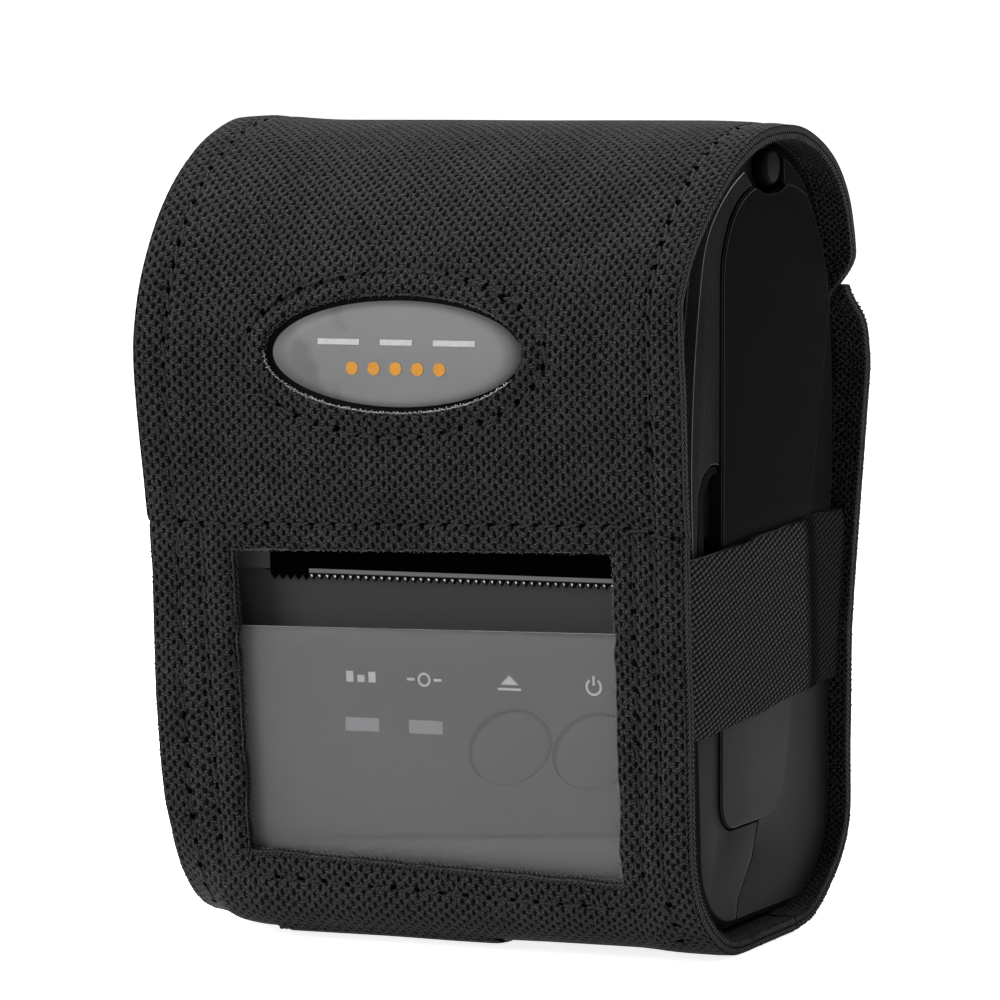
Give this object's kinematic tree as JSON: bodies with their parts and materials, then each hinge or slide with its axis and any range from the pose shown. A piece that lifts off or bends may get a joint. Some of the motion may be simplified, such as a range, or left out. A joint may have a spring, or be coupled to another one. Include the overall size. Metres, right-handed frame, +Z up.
{
  "type": "portable thermal printer",
  "caption": "Portable thermal printer in a woven belt case with a fold-down flap, elastic side bands and a clear window.",
  "frame": {"origin": "middle of the case's footprint, on the surface it stands on", "axes": "+X across the printer to the right as seen from its panel, -Y out of the control panel, +Z up"},
  "size_m": [0.084, 0.065, 0.114],
  "materials": {
    "woven_nylon": "coarse woven",
    "elastic": "ribbed knit",
    "hook_tape": "hook and loop",
    "clear_film": "clear soft film",
    "badge": "satin",
    "housing": "fine matte",
    "buttons": "soft matte",
    "steel": "bright",
    "platen_rubber": "matte",
    "gear_plastic": "moulded acetal",
    "sheet_metal": "sheet",
    "ceramic": "glazed ceramic",
    "circuit_board": "lacquered",
    "lamp_lens": "frosted",
    "battery_wrap": "shrink film"
  },
  "bodies": {
    "case_and_printer": {"case_wrap": "woven_nylon", "belt_loop": "woven_nylon", "loop_patch": "hook_tape", "elastic_band_left": "elastic", "elastic_band_right": "elastic", "window_film": "clear_film", "rear_housing": "housing", "front_housing": "housing", "battery_cover": "housing", "hinge_pins": "steel", "lamp_windows": "lamp_lens", "panel_lamps": "lamp_lens", "control_board": "circuit_board", "panel_switches": "gear_plastic", "main_board": "circuit_board", "charging_socket": "steel", "board_screws": "steel", "housing_screws": "steel", "battery_pack": "battery_wrap", "wheel_stud": "steel", "motor": "steel", "chassis": "sheet_metal", "print_head": "ceramic", "head_sink": "sheet_metal", "head_spring": "steel"},
    "flap": {"case_flap": "woven_nylon", "badge_plate": "badge"},
    "tongue": {"flap_tongue": "woven_nylon", "hook_patch": "hook_tape"},
    "paper_cover": {"lid": "housing", "tear_blade": "steel", "tear_comb": "housing", "platen_bushings": "gear_plastic"},
    "platen": {"platen_shaft": "steel", "platen_roller": "platen_rubber", "platen_gear": "gear_plastic"},
    "lever": {"release_lever": "housing"},
    "feed": {"feed_button": "buttons"},
    "power": {"power_button": "buttons"},
    "wheel": {"reduction_wheel": "gear_plastic"},
    "pinion": {"motor_pinion": "gear_plastic", "motor_shaft": "steel"}
  },
  "joints": [
    {"name": "flap_fold", "type": "hinge", "parent": "case_and_printer", "child": "flap", "pos_m": [0, -0.0325, 0.0485], "axis": [1, 0, 0], "range_deg": [0, 125]},
    {"name": "tongue_fold", "type": "hinge", "parent": "flap", "child": "tongue", "pos_m": [0, -0.0044, 0.11348], "axis": [1, 0, 0], "range_deg": [0, 126]},
    {"name": "cover_hinge", "type": "hinge", "parent": "case_and_printer", "child": "paper_cover", "pos_m": [0, 0.0045, 0.1076], "axis": [-1, 0, 0], "range_deg": [0, 43]},
    {"name": "platen_spin", "type": "hinge", "parent": "paper_cover", "child": "platen", "pos_m": [0, -0.0206, 0.0564], "axis": [1, 0, 0], "continuous": true},
    {"name": "wheel_spin", "type": "hinge", "parent": "case_and_printer", "child": "wheel", "pos_m": [0, -0.01377, 0.04827], "axis": [1, 0, 0], "continuous": true},
    {"name": "pinion_spin", "type": "hinge", "parent": "case_and_printer", "child": "pinion", "pos_m": [0, -0.00465, 0.04827], "axis": [1, 0, 0], "continuous": true},
    {"name": "lever_turn", "type": "hinge", "parent": "paper_cover", "child": "lever", "pos_m": [0.0384, -0.02, 0.0626], "axis": [-1, 0, 0], "range_deg": [0, 6], "stiffness_Nm_per_rad": 0.15},
    {"name": "feed_press", "type": "slide", "parent": "case_and_printer", "child": "feed", "axis": [0, 1, 0], "range_m": [0, 0.0006], "stiffness_N_per_m": 900},
    {"name": "power_press", "type": "slide", "parent": "case_and_printer", "child": "power", "axis": [0, 1, 0], "range_m": [0, 0.0006], "stiffness_N_per_m": 900}
  ],
  "couplings": [
    {"joint": "tongue_fold", "follows": "flap_fold", "ratio": 1},
    {"joint": "cover_hinge", "follows": "flap_fold", "ratio": 0.34},
    {"joint": "wheel_spin", "follows": "platen_spin", "ratio": -0.5},
    {"joint": "pinion_spin", "follows": "platen_spin", "ratio": 1.75}
  ]
}
